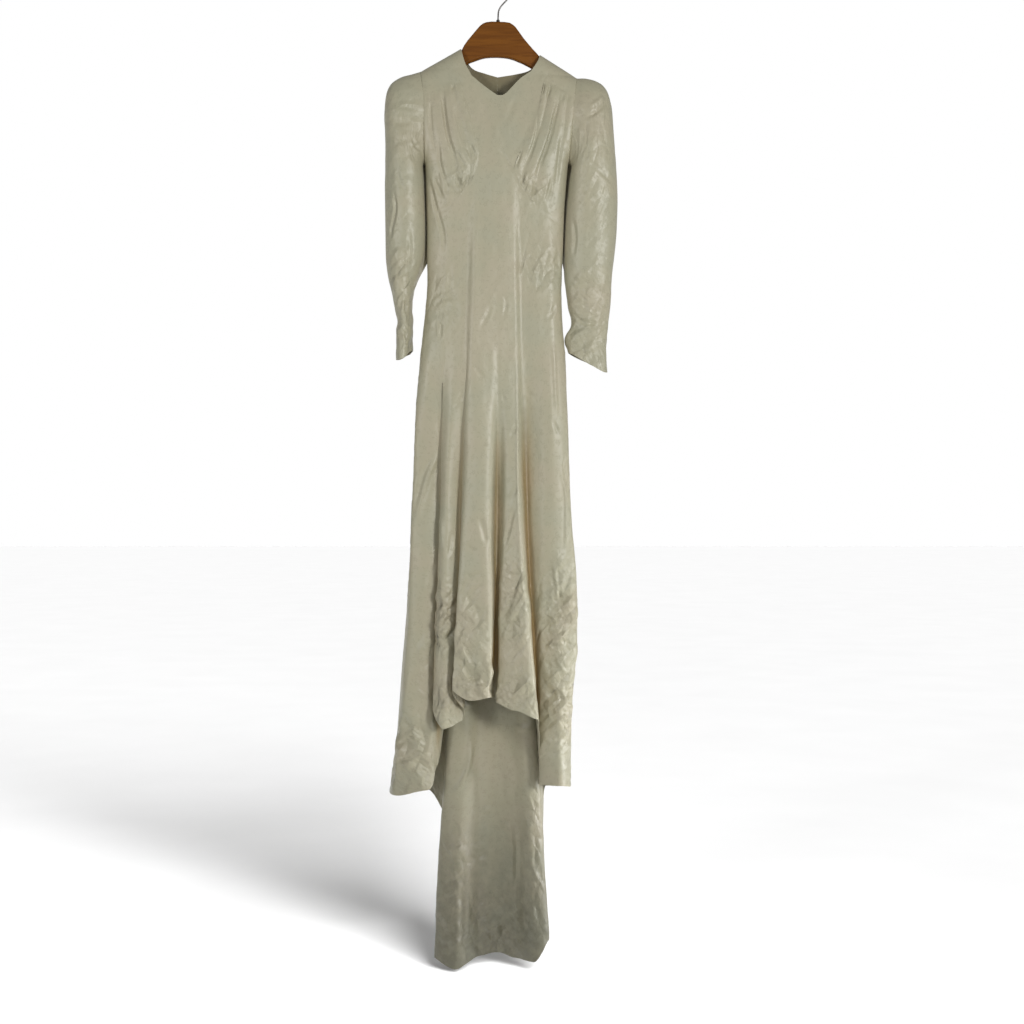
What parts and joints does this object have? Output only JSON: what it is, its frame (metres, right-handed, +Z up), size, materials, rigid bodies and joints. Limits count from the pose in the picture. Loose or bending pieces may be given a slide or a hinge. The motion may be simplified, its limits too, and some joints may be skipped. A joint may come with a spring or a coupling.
{
  "type": "wedding dress on a wooden hanger",
  "caption": "Long slim satin dress with gathered bust, yoke, long sleeves and a pointed train, hanging on a flat wooden hanger with a wire hook.",
  "frame": {"origin": "bearing point of the hanger's hook, at the top of the inside of its loop", "axes": "+Z up, the front of the dress faces -Y, the wearer's left is at +X"},
  "size_m": [0.5, 0.1752, 2.125],
  "materials": {
    "satin": "ivory satin with a fine self-figured weave",
    "covered_button": "ivory satin over a button",
    "wood": "varnished brown beech",
    "wire": "dark plated steel wire"
  },
  "bodies": {
    "root": {"front_panel": "satin", "bust_right": "satin", "bust_left": "satin", "yoke_right": "satin", "yoke_left": "satin", "bodice_back_right": "satin", "bodice_back_left": "satin", "skirt_back_right": "satin", "skirt_back_left": "satin", "sleeve_right": "satin", "sleeve_left": "satin", "neck_button": "covered_button", "hanger_wood": "wood", "hanger_ferrule": "wire", "hanger_hook": "wire"}
  },
  "joints": []
}
